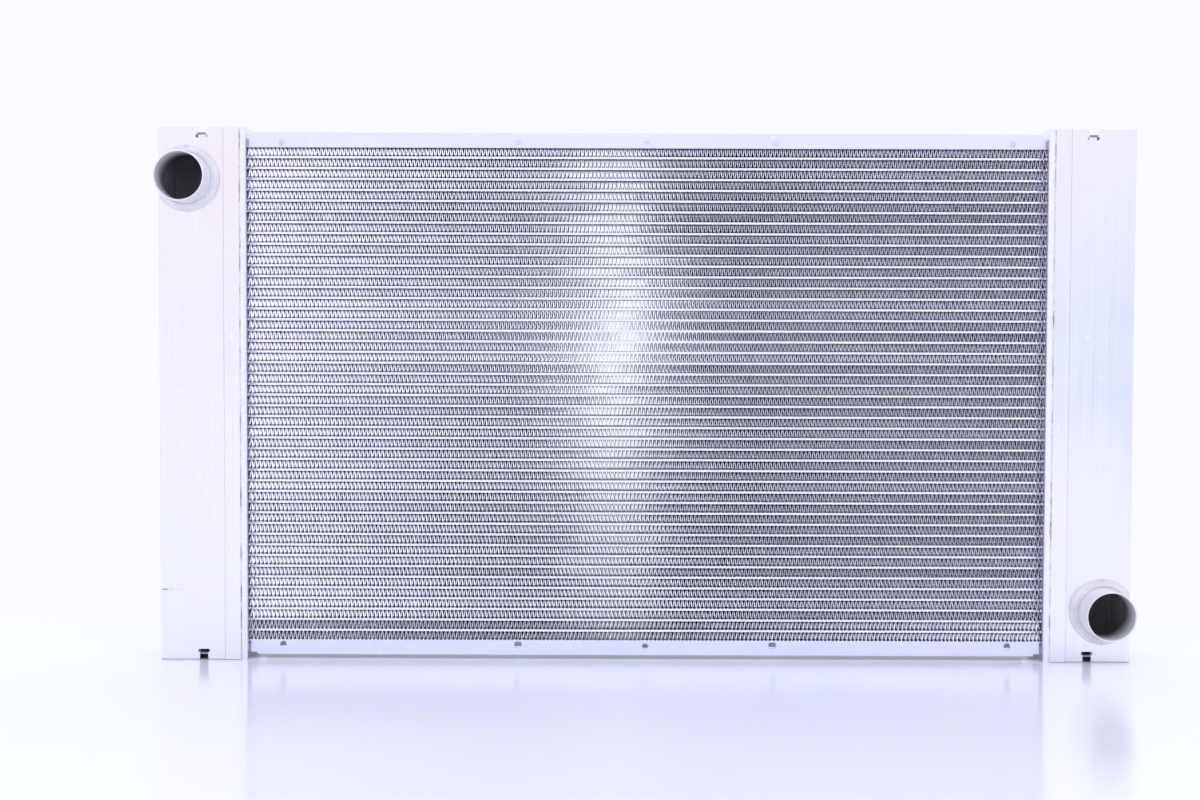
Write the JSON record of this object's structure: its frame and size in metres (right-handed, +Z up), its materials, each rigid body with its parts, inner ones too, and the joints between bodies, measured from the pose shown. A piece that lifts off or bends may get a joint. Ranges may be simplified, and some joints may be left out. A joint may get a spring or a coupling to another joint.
{
  "type": "hydraulic oil cooler",
  "caption": "Brazed aluminium oil cooler: flat tubes and corrugated fins between two folded end tanks, with a plain hose spigot on the front of each tank at opposite corners.",
  "frame": {"origin": "bottom centre of the whole object's box, on the surface that the two tanks stand on", "axes": "+X across the core from the inlet tank to the outlet tank, +Y from the spigot side to the back, +Z up"},
  "size_m": [0.744, 0.0764, 0.4067],
  "materials": {
    "tank_sheet": "rolled sheet, folded, bright after vacuum brazing, faint rolling streaks",
    "header_sheet": "clad sheet, drawn, bright with smooth braze fillets",
    "side_plate_sheet": "rolled sheet, folded into a channel, satin",
    "turned_spigot": "drawn tube, smooth satin",
    "collar_metal": "turned ring, brazed on, slightly dull",
    "tube_strip": "clad strip, folded and brazed, bright",
    "turbulator_foil": "rolled foil, corrugated",
    "fin_foil": "rolled foil, corrugated and louvred, bright"
  },
  "bodies": {
    "root": {"left_tank": "tank_sheet", "right_tank": "tank_sheet", "left_top_cap": "tank_sheet", "left_bottom_cap": "tank_sheet", "right_top_cap": "tank_sheet", "right_bottom_cap": "tank_sheet", "left_header": "header_sheet", "right_header": "header_sheet", "top_side_plate": "side_plate_sheet", "bottom_side_plate": "side_plate_sheet", "inlet_spigot": "turned_spigot", "outlet_spigot": "turned_spigot", "inlet_collar": "collar_metal", "outlet_collar": "collar_metal", "tube_bank_1": "tube_strip", "tube_bank_2": "tube_strip", "tube_bank_3": "tube_strip", "tube_bank_4": "tube_strip", "tube_bank_5": "tube_strip", "tube_bank_6": "tube_strip", "tube_bank_7": "tube_strip", "tube_bank_8": "tube_strip", "tube_bank_9": "tube_strip", "turbulator_bank_1": "turbulator_foil", "turbulator_bank_2": "turbulator_foil", "turbulator_bank_3": "turbulator_foil", "turbulator_bank_4": "turbulator_foil", "turbulator_bank_5": "turbulator_foil", "turbulator_bank_6": "turbulator_foil", "turbulator_bank_7": "turbulator_foil", "turbulator_bank_8": "turbulator_foil", "turbulator_bank_9": "turbulator_foil", "fin_bank_1": "fin_foil", "fin_bank_2": "fin_foil", "fin_bank_3": "fin_foil", "fin_bank_4": "fin_foil", "fin_bank_5": "fin_foil", "fin_bank_6": "fin_foil", "fin_bank_7": "fin_foil", "fin_bank_8": "fin_foil", "fin_bank_9": "fin_foil", "fin_bank_10": "fin_foil", "fin_bank_11": "fin_foil", "fin_bank_12": "fin_foil", "fin_bank_13": "fin_foil", "fin_bank_14": "fin_foil", "fin_bank_15": "fin_foil", "fin_bank_16": "fin_foil", "fin_bank_17": "fin_foil", "fin_bank_18": "fin_foil", "fin_bank_19": "fin_foil", "fin_bank_20": "fin_foil", "fin_bank_21": "fin_foil", "fin_bank_22": "fin_foil", "fin_bank_23": "fin_foil"}
  },
  "joints": []
}
